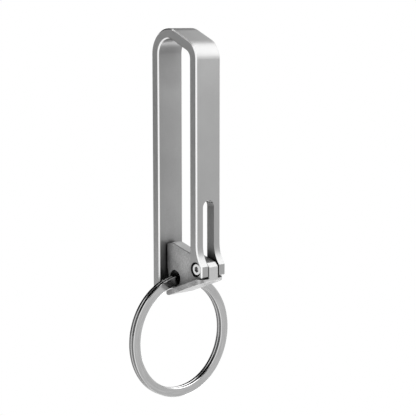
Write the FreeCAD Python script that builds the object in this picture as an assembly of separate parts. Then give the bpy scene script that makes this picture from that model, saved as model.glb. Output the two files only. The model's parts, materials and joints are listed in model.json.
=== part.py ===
import FreeCAD, Part
import math
import os

# A belt key clip: an upside-down U of titanium, a sprung gate at its foot and a flat split ring.
# Millimetres. The origin is the highest point inside the U, where the belt's top edge sits.
# +X runs across the strip, +Y to the rear leg that lies against the body, +Z up.

os.makedirs("parts", exist_ok=True)

# Clip frame
strip_width = 7.5
strip_thickness = 2.4
belt_gap = 11.1
rear_bend_radius = 6.0
front_bend_radius = 4.7
top_slant_degrees = 24.5
edge_chamfer = 0.28
pivot_drop = 53.1
rear_leg_past_pivot = 7.4
lead_in_bevel = 0.4

# Ears at the foot of the front leg
pivot_setback = 0.3
ear_reach = 1.78
ear_flat_height = 0.8
ear_depth = 1.9
ear_corner_radius = 1.6
flare_radius = 7.5
slot_height = 16.0

# Gate lever
web_thickness = 2.9
web_edge_chamfer = 0.12
web_slant_degrees = 15.1
web_corner_radius = 3.4
web_corner_end_degrees = 58.0
knuckle_flat_height = 0.5
knuckle_bevel = 0.93
flange_slant_degrees = 22.0
flange_thickness = 1.2
flange_lip = 0.6
flange_end_flat = 0.1
flange_front_corner_radius = 2.0
flange_rear_corner_radius = 0.6
flange_edge_chamfer = 0.2
ring_hole_radius = 1.8
ring_hole_wall = 0.46
ring_hole_depth = 3.8
ring_hole_chamfer = 0.15

# Hinge hardware
barrel_radius = 0.95
thread_radius = 0.6
thread_runout = 0.8
screw_length = 3.0
head_radius = 1.6
head_height = 0.8
head_chamfer = 0.35
socket_across_flats = 1.3
socket_depth = 0.5
counterbore_radius = 1.75
counterbore_depth = 1.05
washer_thickness = 0.15
washer_radius = 1.55

# Torsion spring
spring_wire_radius = 0.125
spring_barrel_gap = 0.125
spring_turns = 3.25
spring_pocket_depth = 1.35
spring_bend_radius = 0.3
spring_gate_leg = 1.6
spring_ear_leg = 0.6

# Split ring
ring_outer_diameter = 30.0
ring_wire_width = 2.15
ring_wire_thickness = 0.87
ring_wire_chamfer = 0.14
ring_coil_gap = 0.12
ring_step_centre_degrees = 72.0
ring_step_span_degrees = 20.0

# Clearances
knuckle_side_gap = 0.27
ear_flange_gap = 0.35
rear_edge_gap = 0.2
swing_gap = 0.15
running_fit = 0.03
seat_fit = 0.02
thread_fit = 0.02
barrel_end_gap = 0.05
spring_clearance = 0.05
ring_rest_clearance = 0.05
overrun = 1.0
match_tolerance = 0.001

# Places that the frame and the gate share
rear_outer_y = rear_bend_radius
rear_inner_y = rear_outer_y - strip_thickness
front_inner_y = rear_inner_y - belt_gap
front_outer_y = front_inner_y - strip_thickness
pivot_y = front_outer_y + pivot_setback
pivot_z = -pivot_drop
half_width = strip_width / 2
half_web = web_thickness / 2
half_slot = half_web + knuckle_side_gap
foot_front = pivot_setback + ear_reach
gate_reach = rear_inner_y - pivot_y
swing_radius = gate_reach - swing_gap
counterbore_floor = half_width - counterbore_depth
spring_coil_radius = barrel_radius + spring_barrel_gap + spring_wire_radius


def at(y, z):
    """A point of a side outline, on the middle plane of the strip."""
    return FreeCAD.Vector(0, y, z)


def gate_at(rearward, up):
    """A point of a side outline measured from the hinge axis."""
    return at(pivot_y + rearward, pivot_z + up)


def turned(centre, radius, degrees):
    """The point of a circle in a side outline, 0 degrees to the rear and 90 degrees up."""
    angle = math.radians(degrees)
    return centre + at(radius * math.cos(angle), radius * math.sin(angle))


def line(start, end):
    return Part.LineSegment(start, end).toShape()


def arc(centre, radius, start_degrees, end_degrees):
    middle_degrees = (start_degrees + end_degrees) / 2
    points = [turned(centre, radius, degrees) for degrees in (start_degrees, middle_degrees, end_degrees)]
    return Part.Arc(*points).toShape()


def closed_outline(pieces):
    """A face from arcs and corner points in order, with straight lines between them."""
    edges = []
    first = None
    last = None
    for piece in pieces:
        is_point = isinstance(piece, FreeCAD.Vector)
        start = piece if is_point else piece.valueAt(piece.FirstParameter)
        end = piece if is_point else piece.valueAt(piece.LastParameter)
        if last is None:
            first = start
        elif not last.isEqual(start, match_tolerance):
            edges.append(line(last, start))
        if not is_point:
            edges.append(piece)
        last = end
    edges.append(line(last, first))
    return Part.Face(Part.Wire(edges))


def slab(face, width):
    """A side outline given its width, half to each side of the middle plane."""
    side = face.copy()
    side.translate(FreeCAD.Vector(-width / 2, 0, 0))
    return side.extrude(FreeCAD.Vector(width, 0, 0))


def side_edges(solid, half):
    """The edges that lie in the two flat sides of a slab."""
    found = []
    for edge in solid.Edges:
        box = edge.BoundBox
        if box.XLength < match_tolerance and abs(abs(box.XMin) - half) < match_tolerance:
            found.append(edge)
    return found


def cross_cylinder(radius, x_from, x_to, y=pivot_y, z=pivot_z):
    """A round bar across the strip, on the hinge axis unless it is told otherwise."""
    base = FreeCAD.Vector(x_from, y, z)
    return Part.makeCylinder(radius, x_to - x_from, base, FreeCAD.Vector(1, 0, 0))


def block(x_from, x_to, y_from, y_to, z_from, z_to):
    corner = FreeCAD.Vector(x_from, y_from, z_from)
    return Part.makeBox(x_to - x_from, y_to - y_from, z_to - z_from, corner)


# The frame's outline: up the rear leg, over the slanted top, down to the ears and back inside
slant = math.radians(top_slant_degrees)
bend_degrees = 90 + top_slant_degrees
rear_bend = at(0, strip_thickness - rear_bend_radius)
front_bend_y = front_outer_y + front_bend_radius
front_bend_drop = (rear_bend_radius - front_bend_radius + math.sin(slant) * front_bend_y) / math.cos(slant)
front_bend = at(front_bend_y, rear_bend.z + front_bend_drop)
rear_bottom_z = pivot_z - rear_leg_past_pivot
ear_front_y = pivot_y - foot_front
ear_bottom_z = pivot_z - ear_depth
flare_degrees = math.degrees(math.acos(1 - ear_reach / flare_radius))
flare_rise = flare_radius * math.sin(math.radians(flare_degrees))
flare_centre = at(front_outer_y - flare_radius, pivot_z + ear_flat_height + flare_rise)
ear_corner = at(front_inner_y - ear_corner_radius, ear_bottom_z + ear_corner_radius)
frame_outline = closed_outline([
    at(rear_outer_y - edge_chamfer, rear_bottom_z),
    at(rear_outer_y, rear_bottom_z + edge_chamfer),
    arc(rear_bend, rear_bend_radius, 0, bend_degrees),
    arc(front_bend, front_bend_radius, bend_degrees, 180),
    arc(flare_centre, flare_radius, 0, -flare_degrees),
    at(ear_front_y, ear_bottom_z + edge_chamfer),
    at(ear_front_y + edge_chamfer, ear_bottom_z),
    arc(ear_corner, ear_corner_radius, -90, 0),
    arc(front_bend, front_bend_radius - strip_thickness, 180, bend_degrees),
    arc(rear_bend, rear_bend_radius - strip_thickness, bend_degrees, 0),
    at(rear_inner_y, rear_bottom_z + lead_in_bevel),
    at(rear_inner_y + lead_in_bevel, rear_bottom_z),
])
clip_frame = slab(frame_outline, strip_width)
clip_frame = clip_frame.makeChamfer(edge_chamfer, side_edges(clip_frame, half_width))

# The slot that the web swings through, with a round top end
slot_centre_z = pivot_z + slot_height - half_slot
slot_front_y = ear_front_y - overrun
slot_rear_y = front_inner_y + overrun
slot_end_base = FreeCAD.Vector(0, slot_front_y, slot_centre_z)
slot_end = Part.makeCylinder(half_slot, slot_rear_y - slot_front_y, slot_end_base, FreeCAD.Vector(0, 1, 0))
slot_run = block(-half_slot, half_slot, slot_front_y, slot_rear_y, ear_bottom_z - overrun, slot_centre_z)
clip_frame = clip_frame.cut(slot_run.fuse(slot_end))

# Hinge bore, a counterbore in each ear, and the hole for the spring's fixed leg
spring_ear_leg_z = pivot_z + spring_bend_radius
spring_ear_leg_y = pivot_y - spring_coil_radius
spring_hole_radius = spring_wire_radius + spring_clearance
spring_hole_end = half_slot + spring_ear_leg + spring_clearance
ear_cuts = [
    cross_cylinder(barrel_radius + seat_fit, -half_width - overrun, half_width + overrun),
    cross_cylinder(counterbore_radius, -half_width - overrun, -counterbore_floor),
    cross_cylinder(counterbore_radius, counterbore_floor, half_width + overrun),
    cross_cylinder(spring_hole_radius, half_web, spring_hole_end, spring_ear_leg_y, spring_ear_leg_z),
]
for cut in ear_cuts:
    clip_frame = clip_frame.cut(cut)

# Gate web: knuckle at the front, slanted top, and a rear end that clears the rear leg as it swings
web_slant = math.radians(web_slant_degrees)
knuckle_top = gate_at(knuckle_bevel - foot_front, knuckle_flat_height + knuckle_bevel)
web_rear = gate_reach - rear_edge_gap
web_corner_inset = web_corner_radius * math.cos(math.radians(web_corner_end_degrees))
web_corner_rearward = web_rear - web_corner_inset
web_run = pivot_y + web_corner_rearward - knuckle_top.y
web_corner_drop = web_corner_radius / math.cos(web_slant)
web_corner_z = knuckle_top.z + web_run * math.tan(web_slant) - web_corner_drop
web_corner = at(pivot_y + web_corner_rearward, web_corner_z)
swing_start_degrees = -math.degrees(math.acos(web_rear / swing_radius))
hole_distance = swing_radius - ring_hole_radius - ring_hole_wall
hole_degrees = -math.degrees(math.asin(ring_hole_depth / hole_distance))
ring_hole_rearward = math.sqrt(hole_distance ** 2 - ring_hole_depth ** 2)
hole_centre = gate_at(ring_hole_rearward, -ring_hole_depth)
pivot = gate_at(0, 0)

# Flange places, measured along its slanted underside and square to it
flange_slant = math.radians(flange_slant_degrees)
flange_top = ear_depth + ear_flange_gap
flange_bottom = flange_top + flange_lip
underside = -foot_front * math.sin(flange_slant) - flange_bottom * math.cos(flange_slant)


def flange_at(along, above):
    """A point of the flange from its distances along the slant and above the hinge axis."""
    rearward = along * math.cos(flange_slant) + above * math.sin(flange_slant)
    return gate_at(rearward, above * math.cos(flange_slant) - along * math.sin(flange_slant))


# The flange's rear end is a quarter round from its underside up to its top
flange_upper = underside + flange_thickness
flange_end_along = math.sqrt((swing_radius - flange_thickness) ** 2 - flange_upper ** 2)
flange_end = flange_at(flange_end_along, flange_upper)
flange_rear_y = flange_end.y + flange_thickness * math.cos(flange_slant) - flange_end_flat
flange_bend_rearward = (flange_upper + flange_top * math.cos(flange_slant)) / math.sin(flange_slant)
flange_front_along = flange_bottom * math.sin(flange_slant) - foot_front * math.cos(flange_slant)
flange_outline = closed_outline([
    gate_at(-foot_front, flange_edge_chamfer - flange_bottom),
    flange_at(flange_front_along + flange_edge_chamfer, underside),
    arc(flange_end, flange_thickness, -90 - flange_slant_degrees, -flange_slant_degrees),
    gate_at(flange_bend_rearward, -flange_top),
    gate_at(-foot_front, -flange_top),
])

# The web stands on the flange, its lower edge sunk in it, and is cut off slanting behind the ring's hole
web_foot = flange_at(flange_end_along, underside + flange_thickness / 2)
web_foot_degrees = math.degrees(math.atan2(web_foot.z - pivot_z, web_foot.y - pivot_y))
web_tail_degrees = (hole_degrees + web_foot_degrees) / 2
web_outline = closed_outline([
    gate_at(-foot_front, knuckle_flat_height),
    knuckle_top,
    arc(web_corner, web_corner_radius, 90 + web_slant_degrees, web_corner_end_degrees),
    arc(pivot, swing_radius, swing_start_degrees, web_tail_degrees),
    web_foot,
    gate_at(-foot_front, -flange_top - flange_lip / 2),
])
gate_web = slab(web_outline, web_thickness)
gate_web = gate_web.makeChamfer(web_edge_chamfer, side_edges(gate_web, half_web))


def plan_corner(x_side, y_side, radius, x_centre, y_centre):
    """Arc of a rounded corner seen from above; the sides are -1 or 1."""
    slope = radius * math.sqrt(0.5)
    on_x = FreeCAD.Vector(x_centre + x_side * radius, y_centre, 0)
    on_y = FreeCAD.Vector(x_centre, y_centre + y_side * radius, 0)
    middle = FreeCAD.Vector(x_centre + x_side * slope, y_centre + y_side * slope, 0)
    ends = (on_x, on_y) if x_side * y_side > 0 else (on_y, on_x)
    return Part.Arc(ends[0], middle, ends[1]).toShape()


# The flange's plan, a strip as wide as the frame with four round corners
front_corner_x = half_width - flange_front_corner_radius
rear_corner_x = half_width - flange_rear_corner_radius
front_corner_y = ear_front_y + flange_front_corner_radius
rear_corner_y = flange_rear_y - flange_rear_corner_radius
flange_plan = closed_outline([
    plan_corner(1, 1, flange_rear_corner_radius, rear_corner_x, rear_corner_y),
    plan_corner(-1, 1, flange_rear_corner_radius, -rear_corner_x, rear_corner_y),
    plan_corner(-1, -1, flange_front_corner_radius, -front_corner_x, front_corner_y),
    plan_corner(1, -1, flange_front_corner_radius, front_corner_x, front_corner_y),
])
flange_column_height = gate_reach + overrun
flange_plan.translate(FreeCAD.Vector(0, 0, pivot_z - flange_column_height))
flange_column = flange_plan.extrude(FreeCAD.Vector(0, 0, flange_column_height))
gate_flange = slab(flange_outline, strip_width + 2 * overrun).common(flange_column)
gate_lever = gate_web.fuse(gate_flange).removeSplitter()

# Bores of the gate: hinge, spring pocket with a groove for its leg, and the ring's hole with eased edges
pocket_floor = half_web - spring_pocket_depth
pocket_radius = spring_coil_radius + spring_wire_radius + spring_clearance
groove_floor = pocket_floor - spring_clearance
groove_half = spring_wire_radius + spring_clearance
groove_end_y = pivot_y + spring_gate_leg + spring_clearance
groove_low_z = pivot_z - spring_coil_radius - groove_half
groove_high_z = pivot_z - spring_coil_radius + groove_half
gate_cuts = [
    cross_cylinder(barrel_radius + running_fit, -half_web - overrun, half_web + overrun),
    cross_cylinder(pocket_radius, pocket_floor, half_web + overrun),
    block(groove_floor, half_web + overrun, pivot_y, groove_end_y, groove_low_z, groove_high_z),
    cross_cylinder(ring_hole_radius, -half_web - overrun, half_web + overrun, hole_centre.y, hole_centre.z),
]
for side in (-1, 1):
    mouth = FreeCAD.Vector(side * half_web, hole_centre.y, hole_centre.z)
    inward = FreeCAD.Vector(-side, 0, 0)
    wide = ring_hole_radius + ring_hole_chamfer
    gate_cuts.append(Part.makeCone(wide, ring_hole_radius, ring_hole_chamfer, mouth, inward))
for cut in gate_cuts:
    gate_lever = gate_lever.cut(cut)


def hinge_head(side):
    """A round socket head that fills a counterbore; side is -1 or 1 along X."""
    outward = FreeCAD.Vector(side, 0, 0)
    seat = FreeCAD.Vector(side * counterbore_floor, pivot_y, pivot_z)
    straight = head_height - head_chamfer
    head = Part.makeCylinder(head_radius, straight, seat, outward)
    rim_base = seat + outward * straight
    rim = Part.makeCone(head_radius, head_radius - head_chamfer, head_chamfer, rim_base, outward)
    corner = socket_across_flats / math.sqrt(3)
    face_x = side * (counterbore_floor + head_height)
    points = [FreeCAD.Vector(face_x, 0, 0) + turned(pivot, corner, 60 * step + 30) for step in range(7)]
    hexagon = Part.Face(Part.makePolygon(points))
    socket = hexagon.extrude(outward * -socket_depth)
    return head.fuse(rim).removeSplitter().cut(socket)


# Pivot barrel: head in the +X ear, sleeve through both ears, threaded from its other end
barrel_end = barrel_end_gap - counterbore_floor
barrel_sleeve = cross_cylinder(barrel_radius, barrel_end, counterbore_floor)
screw_end = screw_length - counterbore_floor
barrel_thread = cross_cylinder(thread_radius, barrel_end - overrun, screw_end + thread_runout)
pivot_barrel = hinge_head(1).fuse(barrel_sleeve).removeSplitter().cut(barrel_thread)

# Pivot screw: head in the -X ear, shank in the barrel's thread
screw_shank = cross_cylinder(thread_radius - thread_fit, -counterbore_floor, screw_end)
pivot_screw = hinge_head(-1).fuse(screw_shank).removeSplitter()


def thrust_washer(side):
    """A thin ring in the middle of the gap between knuckle and ear."""
    middle = side * (half_web + half_slot) / 2
    inner = barrel_radius + running_fit
    ends = (middle - washer_thickness / 2, middle + washer_thickness / 2)
    return cross_cylinder(washer_radius, *ends).cut(cross_cylinder(inner, *ends))


left_thrust_washer = thrust_washer(-1)
notch_half = spring_bend_radius + spring_wire_radius + spring_clearance
notch_rear_y = spring_ear_leg_y + spring_wire_radius + spring_clearance
notch = block(half_web, half_slot, pivot_y - washer_radius - overrun, notch_rear_y,
              spring_ear_leg_z - notch_half, spring_ear_leg_z + notch_half)
right_thrust_washer = thrust_washer(1).cut(notch)


def arc_from_tangents(start, corner, end):
    """Arc between two points whose tangents meet at a corner as far from one as from the other."""
    middle = (start + end) * 0.5
    rise = corner - middle
    half_chord = (end - start).Length / 2
    bulge = half_chord * math.tan(math.atan2(rise.Length, half_chord) / 2)
    return Part.Arc(start, middle + rise * (bulge / rise.Length), end).toShape()


def biarc(start, start_way, end, end_way):
    """Two arcs that leave start and reach end in given directions and meet without a kink."""
    across = end - start
    both = start_way + end_way
    spread = 2 * (1 - start_way.dot(end_way))
    reach = across.dot(both)
    tangent = (math.sqrt(reach * reach + spread * across.dot(across)) - reach) / spread
    first = start + start_way * tangent
    second = end - end_way * tangent
    joint = (first + second) * 0.5
    return [arc_from_tangents(start, first, joint), arc_from_tangents(joint, second, end)]


# Torsion spring: one wire, a leg along the web, turns round the barrel, a leg bent into the +X ear.
# It is wound so that the gate winds it tighter as it opens.
coil_start_x = pocket_floor + spring_wire_radius + spring_clearance
coil_end_x = half_web - spring_wire_radius - spring_clearance
quarters = round(spring_turns * 4)
climb = (coil_end_x - coil_start_x) / quarters


def coil_point(quarter):
    along_x = FreeCAD.Vector(coil_start_x + climb * quarter, 0, 0)
    return turned(pivot, spring_coil_radius, -90 - 90 * quarter) + along_x


def coil_way(quarter):
    run = turned(at(0, 0), spring_coil_radius * math.pi / 2, 180 - 90 * quarter)
    return (run + FreeCAD.Vector(climb, 0, 0)).normalize()


leg_start = coil_point(0) - coil_way(0) * spring_gate_leg
spring_path = [line(leg_start, coil_point(0))]
for quarter in range(quarters):
    later = quarter + 1
    spring_path += biarc(coil_point(quarter), coil_way(quarter), coil_point(later), coil_way(later))
bend_start = coil_point(quarters)
bend_end = bend_start + FreeCAD.Vector(spring_bend_radius, 0, spring_bend_radius)
leg_way = FreeCAD.Vector(1, 0, 0)
spring_path += biarc(bend_start, coil_way(quarters), bend_end, leg_way)
leg_end = FreeCAD.Vector(half_slot + spring_ear_leg, bend_end.y, bend_end.z)
spring_path.append(line(bend_end, leg_end))
spring_wire = Part.Wire(spring_path)
wire_section = Part.Wire(Part.makeCircle(spring_wire_radius, leg_start, coil_way(0)))
torsion_spring = Part.BRepOffsetAPI.MakePipeShell(spring_wire)
torsion_spring.add(wire_section)
torsion_spring.build()
torsion_spring.makeSolid()
torsion_spring = torsion_spring.shape()
print("spring volume over wire section times length",
      torsion_spring.Volume / (math.pi * spring_wire_radius ** 2 * spring_wire.Length))

# Split ring: it hangs in the hole with its lower edges just clear of the hole's wall
ring_half_thickness = ring_wire_thickness + ring_coil_gap / 2
ring_outer_radius = ring_outer_diameter / 2
ring_mean_radius = ring_outer_radius - ring_wire_width / 2
ring_hang = math.sqrt((ring_hole_radius - ring_rest_clearance) ** 2 - ring_half_thickness ** 2)
ring_top_z = hole_centre.z - ring_hang + ring_wire_width / 2
ring_centre = FreeCAD.Vector(0, hole_centre.y, ring_top_z - ring_mean_radius)
layer_offset = (ring_wire_thickness + ring_coil_gap) / 2


def ring_section(degrees, offset):
    """The flat wire's outline, its corners eased, at an angle round the ring and offset along Y."""
    half_radial = ring_wire_width / 2
    half_axial = ring_wire_thickness / 2
    short_radial = half_radial - ring_wire_chamfer
    short_axial = half_axial - ring_wire_chamfer
    corners = [(half_radial, short_axial), (short_radial, half_axial)]
    corners += [(-radial, axial) for radial, axial in reversed(corners)]
    corners += [(-radial, -axial) for radial, axial in corners]
    angle = math.radians(degrees)
    outward = FreeCAD.Vector(math.cos(angle), 0, math.sin(angle))
    along_y = FreeCAD.Vector(0, 1, 0)
    points = [ring_centre + outward * (ring_mean_radius + radial) + along_y * (offset + axial)
              for radial, axial in corners]
    return Part.makePolygon(points + points[:1])


step_start = ring_step_centre_degrees - ring_step_span_degrees / 2
step_end = ring_step_centre_degrees + ring_step_span_degrees / 2
turn_degrees = 360 - ring_step_span_degrees
ring_axis = FreeCAD.Vector(0, -1, 0)
front_turn = Part.Face(ring_section(step_end, -layer_offset)).revolve(ring_centre, ring_axis, turn_degrees)
rear_turn = Part.Face(ring_section(step_end, layer_offset)).revolve(ring_centre, ring_axis, turn_degrees)
step_sections = []
step_count = 12
for step in range(step_count + 1):
    step_share = step / step_count
    crossing = -layer_offset * math.cos(math.pi * step_share)
    step_sections.append(ring_section(step_start + ring_step_span_degrees * step_share, crossing))
ring_step = Part.makeLoft(step_sections, True, True)
split_ring = front_turn.fuse([ring_step, rear_turn]).removeSplitter()
print("gap between the ring's turns", round(front_turn.distToShape(rear_turn)[0], 4))

nodes = {
    "clip_frame": clip_frame,
    "gate_lever": gate_lever,
    "pivot_barrel": pivot_barrel,
    "pivot_screw": pivot_screw,
    "left_thrust_washer": left_thrust_washer,
    "right_thrust_washer": right_thrust_washer,
    "torsion_spring": torsion_spring,
    "split_ring": split_ring,
}
for name, shape in nodes.items():
    solid = shape.Solids[0]
    print(name, len(shape.Solids), "solid,", "valid," if solid.isValid() else "NOT VALID,",
          round(solid.Volume, 3), "mm3", solid.BoundBox)
    solid.exportStep("parts/" + name + ".step")
print("pivot", pivot, "ring hole", hole_centre, "ring centre", ring_centre)
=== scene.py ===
import json

import bpy
import numpy as np
from mathutils import Matrix, Vector


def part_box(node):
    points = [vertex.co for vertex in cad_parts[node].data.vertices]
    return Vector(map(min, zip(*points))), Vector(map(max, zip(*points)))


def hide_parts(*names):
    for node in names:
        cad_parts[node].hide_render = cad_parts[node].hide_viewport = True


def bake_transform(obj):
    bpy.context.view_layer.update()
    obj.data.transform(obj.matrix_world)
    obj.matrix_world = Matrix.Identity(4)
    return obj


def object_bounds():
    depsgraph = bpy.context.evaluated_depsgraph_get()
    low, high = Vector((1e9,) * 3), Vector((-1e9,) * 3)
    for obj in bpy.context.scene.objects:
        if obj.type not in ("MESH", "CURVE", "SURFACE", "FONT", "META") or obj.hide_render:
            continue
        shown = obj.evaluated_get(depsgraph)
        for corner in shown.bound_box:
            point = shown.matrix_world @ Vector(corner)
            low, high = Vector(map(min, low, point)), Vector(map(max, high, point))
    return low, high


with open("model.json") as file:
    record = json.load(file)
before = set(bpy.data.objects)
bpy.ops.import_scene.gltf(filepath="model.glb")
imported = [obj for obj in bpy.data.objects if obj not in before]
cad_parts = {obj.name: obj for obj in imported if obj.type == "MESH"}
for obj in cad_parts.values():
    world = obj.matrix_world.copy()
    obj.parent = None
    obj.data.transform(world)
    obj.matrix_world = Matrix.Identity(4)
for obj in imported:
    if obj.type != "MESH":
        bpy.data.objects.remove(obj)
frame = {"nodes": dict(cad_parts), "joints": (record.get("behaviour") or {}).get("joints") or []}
cad_box = [list(corner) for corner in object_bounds()]


# Clip frame
# The upside-down U that hangs on the belt. It is milled from one bar of titanium, bead-blasted to an
# even satin grey, and its long edges are then chamfered, so that the chamfers shine.
MM = 0.001


def linear(hex_colour):
    """An sRGB hex value as linear red, green, blue and alpha."""
    srgb = np.array([int(hex_colour[place:place + 2], 16) for place in (1, 3, 5)]) / 255
    light = np.where(srgb <= 0.04045, srgb / 12.92, ((srgb + 0.055) / 1.055) ** 2.4)
    return (*light.tolist(), 1.0)


def add(tree, kind, sockets=None, **settings):
    """Adds a node, sets its properties, and gives each named socket a value or a link."""
    node = tree.nodes.new(kind)
    for name, value in settings.items():
        setattr(node, name, value)
    for socket, value in (sockets or {}).items():
        if isinstance(value, bpy.types.NodeSocket):
            tree.links.new(value, node.inputs[socket])
        else:
            node.inputs[socket].default_value = value
    return node


def empty_material(name):
    """A node material with nothing in it but its output."""
    material = bpy.data.materials.new(name)
    material.use_nodes = True
    material.node_tree.nodes.clear()
    output = add(material.node_tree, "ShaderNodeOutputMaterial")
    return material, material.node_tree, output


def dress(node_name, material):
    """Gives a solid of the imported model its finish."""
    slots = frame["nodes"][node_name].data.materials
    slots.clear()
    slots.append(material)


# The slope of a chamfer, as the share of its normal that lies along the axis of the sides that it joins
CHAMFER_SLOPE = ((0.45, 0.0), (0.60, 1.0), (0.84, 1.0), (0.95, 0.0))
# A face counts as running along an axis if less than this share of its normal lies along it
ALONG_LIMIT = 0.4


def normal_share(tree, axis):
    """The share of a face's normal that lies along an axis, whichever way it points."""
    place = add(tree, "ShaderNodeTexCoord")
    facing = add(tree, "ShaderNodeSeparateXYZ", {0: place.outputs["Normal"]})
    return add(tree, "ShaderNodeMath", {0: facing.outputs[axis]}, operation="ABSOLUTE")


def sloping_edge(tree, axis):
    """1 on faces that lean about 45 degrees to an axis, 0 on faces along it or square to it."""
    slope = add(tree, "ShaderNodeValToRGB", {0: normal_share(tree, axis).outputs["Value"]})
    stops = slope.color_ramp.elements
    while len(stops) < len(CHAMFER_SLOPE):
        stops.new(0.5)
    for stop, (share, level) in zip(stops, CHAMFER_SLOPE):
        stop.position = share
        stop.color = (level, level, level, 1.0)
    return slope


def along_axis(tree, axis):
    """1 on faces that run along an axis, 0 on faces that lean to it or are square to it."""
    return add(tree, "ShaderNodeMath", {
        0: normal_share(tree, axis).outputs["Value"], 1: ALONG_LIMIT}, operation="LESS_THAN")


def off_axis(tree, centre, axis):
    """A place's offset from a centre, the part of it that is square to an axis, and that part's length."""
    place = add(tree, "ShaderNodeTexCoord")
    square = tuple(1.0 - value for value in axis)
    offset = add(tree, "ShaderNodeVectorMath", {
        0: place.outputs["Object"], 1: centre}, operation="SUBTRACT")
    flat = add(tree, "ShaderNodeVectorMath", {
        0: offset.outputs["Vector"], 1: square}, operation="MULTIPLY")
    radius = add(tree, "ShaderNodeVectorMath", {0: flat.outputs["Vector"]}, operation="LENGTH")
    return offset, flat, radius


# The share of open space from which a colour has its full strength, and its strength under the painted
# shade of a shut corner
OPEN_SPACE = 0.95
SHADED_CORNER_STRENGTH = 0.04


def painted_shade_in_corners(tree, colour, shade_reach_mm, shut_in):
    """A colour darkened by painted shade where other metal stands close by, standing in for the shade that
    falls there. It is darkest where the share of open space has fallen to shut_in."""
    free = add(tree, "ShaderNodeAmbientOcclusion", {"Distance": shade_reach_mm * MM}, samples=8)
    level = add(tree, "ShaderNodeMapRange", {
        "Value": free.outputs["AO"], "From Min": shut_in, "From Max": OPEN_SPACE,
        "To Min": SHADED_CORNER_STRENGTH})
    return add(tree, "ShaderNodeMix", {0: 1.0, 6: colour, 7: level.outputs["Result"]},
               data_type="RGBA", blend_type="MULTIPLY")


# Between these shares of a bore's radius its wall ends and the face round it begins
BORE_END = (1.02, 1.06)


def painted_shade_in_bore(tree, colour, centre, radius_mm, shade):
    """A colour that turns to a painted shade inside a hole along X."""
    _, _, radius = off_axis(tree, centre, (1.0, 0.0, 0.0))
    wall_end, face_start = (share * radius_mm * MM for share in BORE_END)
    outside = add(tree, "ShaderNodeMapRange", {
        "Value": radius.outputs["Value"], "From Min": wall_end, "From Max": face_start})
    return add(tree, "ShaderNodeMix", {0: outside.outputs["Result"], 6: linear(shade), 7: colour},
               data_type="RGBA")


# The dents of the blasting are about 0.05 mm wide. They are drawn coarser so that they show.
BLAST_DENT_MM = 0.3
# The range of dents plus clouds that the colour follows, and how much a dent changes the roughness
MOTTLE_LOW, MOTTLE_HIGH = 0.7, 1.3
DENT_ROUGHNESS = 0.04
# How strongly the dents stand out on a blasted face and on a cut edge, and the height of all bumps
DENTS_ON_FACE, DENTS_ON_EDGE = 0.35, 0.05
BUMP_HEIGHT = 0.01 * MM


def blasted_titanium(name, dull, bright, edge, satin, edge_roughness, cloud_mm, shade_reach_mm, shut_in,
                     profile=None, bore=None):
    """Titanium that was blasted with fine beads and whose edges were cut afterwards.
    The dents spread a reflection evenly and leave a faint cloudiness. A cut edge, known by its slope of
    45 degrees out of the strip's side, has a colour and a roughness of its own. The faces of the profile,
    which run along X, can have another colour, and the wall of a bore can be painted dark as shade.
    Painted shade darkens the colour where other metal stands close by."""
    material, tree, output = empty_material(name)
    place = add(tree, "ShaderNodeTexCoord")
    dents = add(tree, "ShaderNodeTexNoise", {
        "Vector": place.outputs["Object"], "Scale": 1 / (BLAST_DENT_MM * MM), "Detail": 2.0})
    clouds = add(tree, "ShaderNodeTexNoise", {
        "Vector": place.outputs["Object"], "Scale": 1 / (cloud_mm * MM), "Detail": 3.0})
    mottle = add(tree, "ShaderNodeMath", {0: dents.outputs["Fac"], 1: clouds.outputs["Fac"]})
    tone = add(tree, "ShaderNodeMapRange", {
        "Value": mottle.outputs["Value"], "From Min": MOTTLE_LOW, "From Max": MOTTLE_HIGH})
    blasted = add(tree, "ShaderNodeMix", {0: tone.outputs["Result"], 6: linear(dull), 7: linear(bright)},
                  data_type="RGBA")
    cut = sloping_edge(tree, "X")
    colour = add(tree, "ShaderNodeMix", {
        0: cut.outputs["Color"], 6: blasted.outputs[2], 7: linear(edge)}, data_type="RGBA")
    if profile:
        milled = along_axis(tree, "X")
        colour = add(tree, "ShaderNodeMix", {
            0: milled.outputs["Value"], 6: colour.outputs[2], 7: linear(profile)}, data_type="RGBA")
    if bore:
        colour = painted_shade_in_bore(tree, colour.outputs[2], **bore)
    shaded = painted_shade_in_corners(tree, colour.outputs[2], shade_reach_mm, shut_in)
    spread = add(tree, "ShaderNodeMapRange", {
        "Value": dents.outputs["Fac"], "To Min": satin - DENT_ROUGHNESS, "To Max": satin + DENT_ROUGHNESS})
    roughness = add(tree, "ShaderNodeMix", {
        0: cut.outputs["Color"], 2: spread.outputs["Result"], 3: edge_roughness})
    depth = add(tree, "ShaderNodeMapRange", {
        "Value": cut.outputs["Color"], "To Min": DENTS_ON_FACE, "To Max": DENTS_ON_EDGE})
    bump = add(tree, "ShaderNodeBump", {
        "Height": dents.outputs["Fac"], "Distance": BUMP_HEIGHT, "Strength": depth.outputs["Result"]})
    metal = add(tree, "ShaderNodeBsdfPrincipled", {
        "Base Color": shaded.outputs[2], "Metallic": 1.0, "Roughness": roughness.outputs[0],
        "Normal": bump.outputs["Normal"]})
    tree.links.new(metal.outputs["BSDF"], output.inputs["Surface"])
    return material


# Painted shade darkens the frame's colour where other metal stands within 13 mm.
dress("clip_frame", blasted_titanium(
    "bead_blasted_titanium_with_cut_edges", dull="#9F9F9F", bright="#A6A6A6", edge="#F8F8F8",
    satin=0.36, edge_roughness=0.22, cloud_mm=6.0, shade_reach_mm=13.0, shut_in=0.15))
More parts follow.
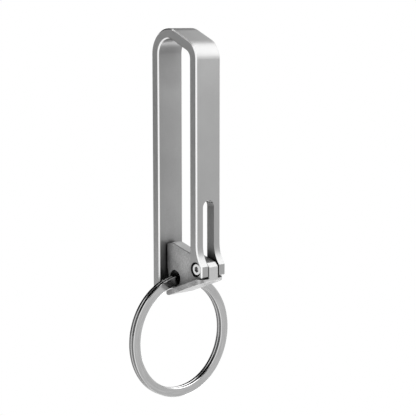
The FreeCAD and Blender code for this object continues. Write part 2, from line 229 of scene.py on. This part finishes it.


# Gate lever
# The hinged foot that shuts the U and carries the key ring, milled from titanium. Blasting leaves its sides
# grainy and its eased edges dull. The milled profile is brighter. The wall of the ring's hole is painted
# dark as shade, and painted shade darkens the gate where other metal stands close by. It turns on the
# pivot barrel.
joint_places = {joint["name"]: np.array(joint["pos_m"]) for joint in frame["joints"]}
SHADED_RING_HOLE = {"centre": tuple(joint_places["ring_swing"]), "radius_mm": 1.8, "shade": "#2A2A2A"}
dress("gate_lever", blasted_titanium(
    "bead_blasted_titanium_with_dull_edges", dull="#949494", bright="#CCCCCC", edge="#8C8C8C",
    satin=0.52, edge_roughness=0.36, cloud_mm=4.0, shade_reach_mm=3.5, shut_in=0.10,
    profile="#C0C0C0", bore=SHADED_RING_HOLE))


# Pivot screw and pivot barrel
# The hinge pin in two pieces, turned from stainless steel and screwed together. Each has a round socket
# head in a counterbore of an ear. The lathe leaves fine marks round it and a bright rim.
def marks_round_axis(tree, centre, axis, spacing_mm, cells_round):
    """Fine marks that run round an axis. The noise is read at the mark's radius plus its place along the
    axis, in spacings, and at its direction from the axis times a few cells, so it is long and seamless."""
    spaced = tuple(value / (spacing_mm * MM) for value in axis)
    offset, flat, radius = off_axis(tree, centre, axis)
    along = add(tree, "ShaderNodeVectorMath", {
        0: offset.outputs["Vector"], 1: axis}, operation="DOT_PRODUCT")
    lane = add(tree, "ShaderNodeMath", {0: radius.outputs["Value"], 1: along.outputs["Value"]})
    lanes = add(tree, "ShaderNodeVectorMath", {
        0: spaced, "Scale": lane.outputs["Value"]}, operation="SCALE")
    way = add(tree, "ShaderNodeVectorMath", {0: flat.outputs["Vector"]}, operation="NORMALIZE")
    turn = add(tree, "ShaderNodeVectorMath", {
        0: way.outputs["Vector"], "Scale": cells_round}, operation="SCALE")
    both = add(tree, "ShaderNodeVectorMath", {0: turn.outputs["Vector"], 1: lanes.outputs["Vector"]})
    return add(tree, "ShaderNodeTexNoise", {
        "Vector": both.outputs["Vector"], "Scale": 1.0, "Detail": 2.0})


# The range of the marks that the colour follows, and how much a mark changes the roughness
MARKS_LOW, MARKS_HIGH = 0.3, 0.7
MARK_ROUGHNESS = 0.06


def marked_metal(name, dull, bright, marks_like, satin, depth, rim=None, rim_axis="X", side=None):
    """A metal with fine marks round an axis: they change its colour and roughness a little and are felt
    as shallow scratches. An eased edge, known by its slope to an axis, can have a colour of its own, and
    the faces that run along that axis can have a painted dark reflection. Painted shade darkens it where
    other metal stands close by."""
    material, tree, output = empty_material(name)
    marks = marks_round_axis(tree, **marks_like)
    tone = add(tree, "ShaderNodeMapRange", {
        "Value": marks.outputs["Fac"], "From Min": MARKS_LOW, "From Max": MARKS_HIGH})
    colour = add(tree, "ShaderNodeMix", {0: tone.outputs["Result"], 6: linear(dull), 7: linear(bright)},
                 data_type="RGBA")
    if rim:
        eased = sloping_edge(tree, rim_axis)
        colour = add(tree, "ShaderNodeMix", {
            0: eased.outputs["Color"], 6: colour.outputs[2], 7: linear(rim)}, data_type="RGBA")
    # Faces along the axis can be painted darker, as a painted dark reflection.
    if side:
        painted_reflection_faces = along_axis(tree, rim_axis)
        colour = add(tree, "ShaderNodeMix", {
            0: painted_reflection_faces.outputs["Value"], 6: colour.outputs[2], 7: linear(side)}, data_type="RGBA")
    # Painted shade within 1.5 mm of other metal, standing in for the shade that falls there.
    shaded = painted_shade_in_corners(tree, colour.outputs[2], shade_reach_mm=1.5, shut_in=0.05)
    roughness = add(tree, "ShaderNodeMapRange", {
        "Value": marks.outputs["Fac"], "To Min": satin - MARK_ROUGHNESS, "To Max": satin + MARK_ROUGHNESS})
    bump = add(tree, "ShaderNodeBump", {
        "Height": marks.outputs["Fac"], "Distance": BUMP_HEIGHT, "Strength": depth})
    metal = add(tree, "ShaderNodeBsdfPrincipled", {
        "Base Color": shaded.outputs[2], "Metallic": 1.0, "Roughness": roughness.outputs["Result"],
        "Normal": bump.outputs["Normal"]})
    tree.links.new(metal.outputs["BSDF"], output.inputs["Surface"])
    return material


hinge = joint_places["gate_hinge"]
LATHE_MARKS = {"centre": tuple(hinge), "axis": (1.0, 0.0, 0.0), "spacing_mm": 0.06, "cells_round": 1.5}
hinge_steel = marked_metal("turned_stainless_steel", dull="#D6D6D6", bright="#E6E6E6",
                           marks_like=LATHE_MARKS, satin=0.18, depth=0.15, rim="#FFFFFF")
dress("pivot_screw", hinge_steel)
dress("pivot_barrel", hinge_steel)


# Thrust washers
# Thin bronze washers between the knuckle and the ears, stamped from sheet. The gate rubs them as it
# turns, which leaves fine rings on them.
washer_bronze = marked_metal("stamped_bronze", dull="#8A7550", bright="#A08A60",
                             marks_like=LATHE_MARKS, satin=0.35, depth=0.2)
dress("left_thrust_washer", washer_bronze)
dress("right_thrust_washer", washer_bronze)


# Torsion spring
# Drawn spring wire round the barrel, in the knuckle's pocket. One leg lies in a groove of the gate and
# the other is bent into the +X ear, so the real coil twists from one end to the other as the gate opens.
# The wire here is built as it lies at rest and takes the place of the model's spring.
WIRE_RADIUS = 0.125 * MM
WIRE_SIDES = 16
COIL_RADIUS = 1.2 * MM
COIL_TURNS = 3.25
COIL_START_TURN = -0.25
COIL_START = 0.275 * MM
COIL_END = 1.275 * MM
COIL_POINTS = 160
GATE_LEG = 1.6 * MM
GATE_LEG_POINTS = 8
EAR_BEND = 0.3 * MM
EAR_BEND_POINTS = 12
EAR_LEG_END = 2.32 * MM
EAR_LEG_POINTS = 6


def spring_line():
    """The middle line of the wire, and at each point a direction square to it that points out of the
    coil. The coil is a helix about X: its angle falls evenly from the bottom while x climbs. The gate leg
    goes on straight from its start to the rear. At its end a quarter circle turns the wire from up to +X,
    and the ear leg follows."""
    angle = np.linspace(COIL_START_TURN, COIL_START_TURN - COIL_TURNS, COIL_POINTS) * 2 * np.pi
    radial = np.stack([np.zeros_like(angle), np.cos(angle), np.sin(angle)], axis=1)
    coil = COIL_RADIUS * radial + np.linspace(COIL_START, COIL_END, COIL_POINTS)[:, None] * (1, 0, 0)
    climb = (COIL_END - COIL_START) / (2 * np.pi * COIL_RADIUS * COIL_TURNS)
    back = np.linspace(GATE_LEG, 0, GATE_LEG_POINTS, endpoint=False)[:, None]
    gate_leg = coil[0] + back * (-climb, 1, 0)
    turn = np.linspace(0, np.pi / 2, EAR_BEND_POINTS)[1:]
    arc = np.stack([1 - np.cos(turn), np.zeros_like(turn), np.sin(turn)], axis=1)
    bend = coil[-1] + EAR_BEND * arc
    onward = np.linspace(0, EAR_LEG_END - bend[-1][0], EAR_LEG_POINTS)[1:, None]
    ear_leg = bend[-1] + onward * (1, 0, 0)
    line = np.concatenate([gate_leg, coil, bend, ear_leg]) + hinge
    outward = np.concatenate([
        np.repeat(radial[:1], len(gate_leg), axis=0), radial,
        np.repeat(radial[-1:], len(bend) + len(ear_leg), axis=0)])
    return line, outward


def round_wire(name, line, outward, radius, sides):
    """A wire with square ends: at each point of its line a circle, on the outward direction and on the
    one that is square to it and to the line. Quads join the circles and a flat face shuts each end."""
    ahead = np.gradient(line, axis=0)
    ahead /= np.linalg.norm(ahead, axis=1, keepdims=True)
    aside = np.cross(ahead, outward)
    aside /= np.linalg.norm(aside, axis=1, keepdims=True)
    turn = np.linspace(0, 2 * np.pi, sides, endpoint=False)[:, None]
    circles = outward[:, None] * np.cos(turn) + aside[:, None] * np.sin(turn)
    points = (line[:, None] + radius * circles).reshape(-1, 3)
    index = np.arange(len(points)).reshape(len(line), sides)
    beside = np.roll(index, -1, axis=1)
    walls = np.stack([index[:-1], beside[:-1], beside[1:], index[1:]], axis=-1).reshape(-1, 4)
    ends = [index[0][::-1].tolist(), index[-1].tolist()]
    mesh = bpy.data.meshes.new(name)
    mesh.from_pydata(points.tolist(), [], walls.tolist() + ends)
    mesh.shade_smooth()
    return mesh


wound_mesh = round_wire("wound_spring", *spring_line(), WIRE_RADIUS, WIRE_SIDES)
wound_mesh.materials.append(marked_metal("drawn_spring_steel", dull="#8E8E90", bright="#A8A8AA",
                                         marks_like=LATHE_MARKS, satin=0.3, depth=0.2))
wound_spring = bpy.data.objects.new("wound_spring", wound_mesh)
bpy.context.scene.collection.objects.link(wound_spring)
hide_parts("torsion_spring")
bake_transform(wound_spring)


# Split ring
# The flat key ring, two turns of flattened stainless wire, threaded through the gate. Tumbling leaves soft
# faces with faint scratches round them, and eased edges that shine. The narrow rims are painted dark grey
# as a painted reflection of dark surroundings, and painted shade darkens the ring close to other metal.
ring_low, ring_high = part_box("split_ring")
RING_MARKS = {"centre": tuple((ring_low + ring_high) / 2), "axis": (0.0, 1.0, 0.0),
              "spacing_mm": 0.25, "cells_round": 4.0}
dress("split_ring", marked_metal("tumbled_stainless_steel", dull="#A6A6A6", bright="#B8B8B8",
                                 marks_like=RING_MARKS, satin=0.18, depth=0.06,
                                 rim="#D8D8D8", rim_axis="Y", side="#747474"))


# Camera
# A long lens in front of the clip, to its left and a little above it, as in the photograph.
CAMERA_PLACE = Vector((-197.66, -230.14, 5.63)) * MM
TO_CAMERA = Vector((-0.6602, -0.7362, 0.1489)).normalized()
camera_data = bpy.data.cameras.new("photo_camera")
camera_data.sensor_width = 36.0
camera_data.lens = 111.44
camera_data.clip_start = 0.01
camera_data.clip_end = 10.0
camera = bpy.data.objects.new("photo_camera", camera_data)
bpy.context.scene.collection.objects.link(camera)
camera_right = Vector((0, 0, 1)).cross(TO_CAMERA).normalized()
camera_turn = Matrix((camera_right, TO_CAMERA.cross(camera_right), TO_CAMERA)).transposed()
camera.matrix_world = Matrix.Translation(CAMERA_PLACE) @ camera_turn.to_4x4()
bpy.context.scene.camera = camera


# Floor
# A plain white sweep below the hanging clip. It shows the clip's shadow close by, and farther out it is
# as white as the background.
FLOOR_DROP = 160 * MM
FLOOR_HALF = 1500 * MM
SHADOW_RADIUS = 90 * MM
WHITE_RADIUS = 140 * MM


def seen_rays(tree):
    """1 for the rays that see the background: from the camera, off metal or through glass."""
    path = add(tree, "ShaderNodeLightPath")
    straight = add(tree, "ShaderNodeMath", {
        0: path.outputs["Is Camera Ray"], 1: path.outputs["Is Glossy Ray"]}, operation="MAXIMUM")
    return add(tree, "ShaderNodeMath", {
        0: straight.outputs["Value"], 1: path.outputs["Is Transmission Ray"]}, operation="MAXIMUM")


floor_height = cad_box[0][2] - FLOOR_DROP
floor_square = np.array([(-1, -1, 0), (1, -1, 0), (1, 1, 0), (-1, 1, 0)])
floor_corners = floor_square * FLOOR_HALF + (0, 0, floor_height)
floor_mesh = bpy.data.meshes.new("floor")
floor_mesh.from_pydata(floor_corners.tolist(), [], [(0, 1, 2, 3)])
floor = bpy.data.objects.new("floor", floor_mesh)
bpy.context.scene.collection.objects.link(floor)
floor_paint, tree, output = empty_material("white_floor_paint")
_, _, reach = off_axis(tree, (0.0, 0.0, 0.0), (0.0, 0.0, 1.0))
far = add(tree, "ShaderNodeMapRange", {
    "Value": reach.outputs["Value"], "From Min": SHADOW_RADIUS, "From Max": WHITE_RADIUS})
share = add(tree, "ShaderNodeMath", {
    0: seen_rays(tree).outputs["Value"], 1: far.outputs["Result"]}, operation="MULTIPLY")
paint = add(tree, "ShaderNodeBsdfDiffuse", {"Color": linear("#F0F0F0")})
white = add(tree, "ShaderNodeEmission", {"Color": linear("#FFFFFF"), "Strength": 1.0})
sweep = add(tree, "ShaderNodeMixShader", {
    0: share.outputs["Value"], 1: paint.outputs["BSDF"], 2: white.outputs["Emission"]})
tree.links.new(sweep.outputs["Shader"], output.inputs["Surface"])
floor_mesh.materials.append(floor_paint)


# Light
# White studio surroundings. Soft boxes light the gate's round corner from the left, the front bend from
# the right and the underside from below. Grey cards shade the strip's near sides and the chamfer of its
# top, and dark ones above and behind draw the lines along the ring's rims.
world = bpy.data.worlds.new("white_studio")
world.use_nodes = True
tree = world.node_tree
tree.nodes.clear()
room = add(tree, "ShaderNodeBackground", {"Color": linear("#FFFFFF"), "Strength": 0.8})
backdrop = add(tree, "ShaderNodeBackground", {"Color": linear("#FFFFFF"), "Strength": 1.0})
both = add(tree, "ShaderNodeMixShader", {
    0: seen_rays(tree).outputs["Value"],
    1: room.outputs["Background"], 2: backdrop.outputs["Background"]})
add(tree, "ShaderNodeOutputWorld", {"Surface": both.outputs["Shader"]})
bpy.context.scene.world = world
clip_middle = (Vector(cad_box[0]) + Vector(cad_box[1])) / 2


def soft_box(name, direction, distance, width, height, radiance):
    """A rectangular lamp in a direction from the clip, turned to face it. Its power is its radiance
    times its area and pi."""
    lamp = bpy.data.lights.new(name, "AREA")
    lamp.shape = "RECTANGLE"
    lamp.size = width
    lamp.size_y = height
    lamp.energy = radiance * np.pi * width * height
    way = Vector(direction).normalized()
    holder = bpy.data.objects.new(name, lamp)
    holder.location = clip_middle + way * distance
    holder.rotation_euler = way.to_track_quat("Z", "Y").to_euler()
    holder.visible_camera = False
    bpy.context.scene.collection.objects.link(holder)


def card(name, direction, distance, width, height, grey):
    """A flat card in a direction from the clip, turned to face it."""
    way = Vector(direction).normalized()
    across = Vector((0, 0, 1)).cross(way).normalized()
    upward = way.cross(across)
    centre = clip_middle + way * distance
    corners = [centre + across * (x * width / 2) + upward * (y * height / 2)
               for x, y in ((-1, -1), (1, -1), (1, 1), (-1, 1))]
    mesh = bpy.data.meshes.new(name)
    mesh.from_pydata(corners, [], [(0, 1, 2, 3)])
    panel = bpy.data.objects.new(name, mesh)
    panel.visible_camera = False
    bpy.context.scene.collection.objects.link(panel)
    material, tree, output = empty_material(name + "_paper")
    paper = add(tree, "ShaderNodeBsdfDiffuse", {"Color": linear(grey)})
    tree.links.new(paper.outputs["BSDF"], output.inputs["Surface"])
    mesh.materials.append(material)


soft_box("left_soft_box", (-0.97, -0.15, -0.20), distance=400 * MM,
         width=300 * MM, height=200 * MM, radiance=0.9)
soft_box("right_front_soft_box", (0.576, -0.428, 0.66), distance=230 * MM,
         width=200 * MM, height=240 * MM, radiance=2.0)
soft_box("low_right_soft_box", (0.72, 0.15, -0.6), distance=250 * MM,
         width=200 * MM, height=200 * MM, radiance=1.9)
card("left_card", (-0.66, 0.736, 0.05), distance=150 * MM,
     width=200 * MM, height=80 * MM, grey="#C2C2C2")
card("top_card", (0.02, -0.42, 0.90), distance=300 * MM,
     width=260 * MM, height=220 * MM, grey="#484848")
card("overhead_card", (-0.47, 0.19, 0.86), distance=320 * MM,
     width=190 * MM, height=190 * MM, grey="#C0C0C0")
card("back_card", (-0.08, 0.80, 0.59), distance=490 * MM,
     width=1000 * MM, height=360 * MM, grey="#202020")


# Picture
# The plain view transform.
bpy.context.scene.view_settings.view_transform = "Standard"
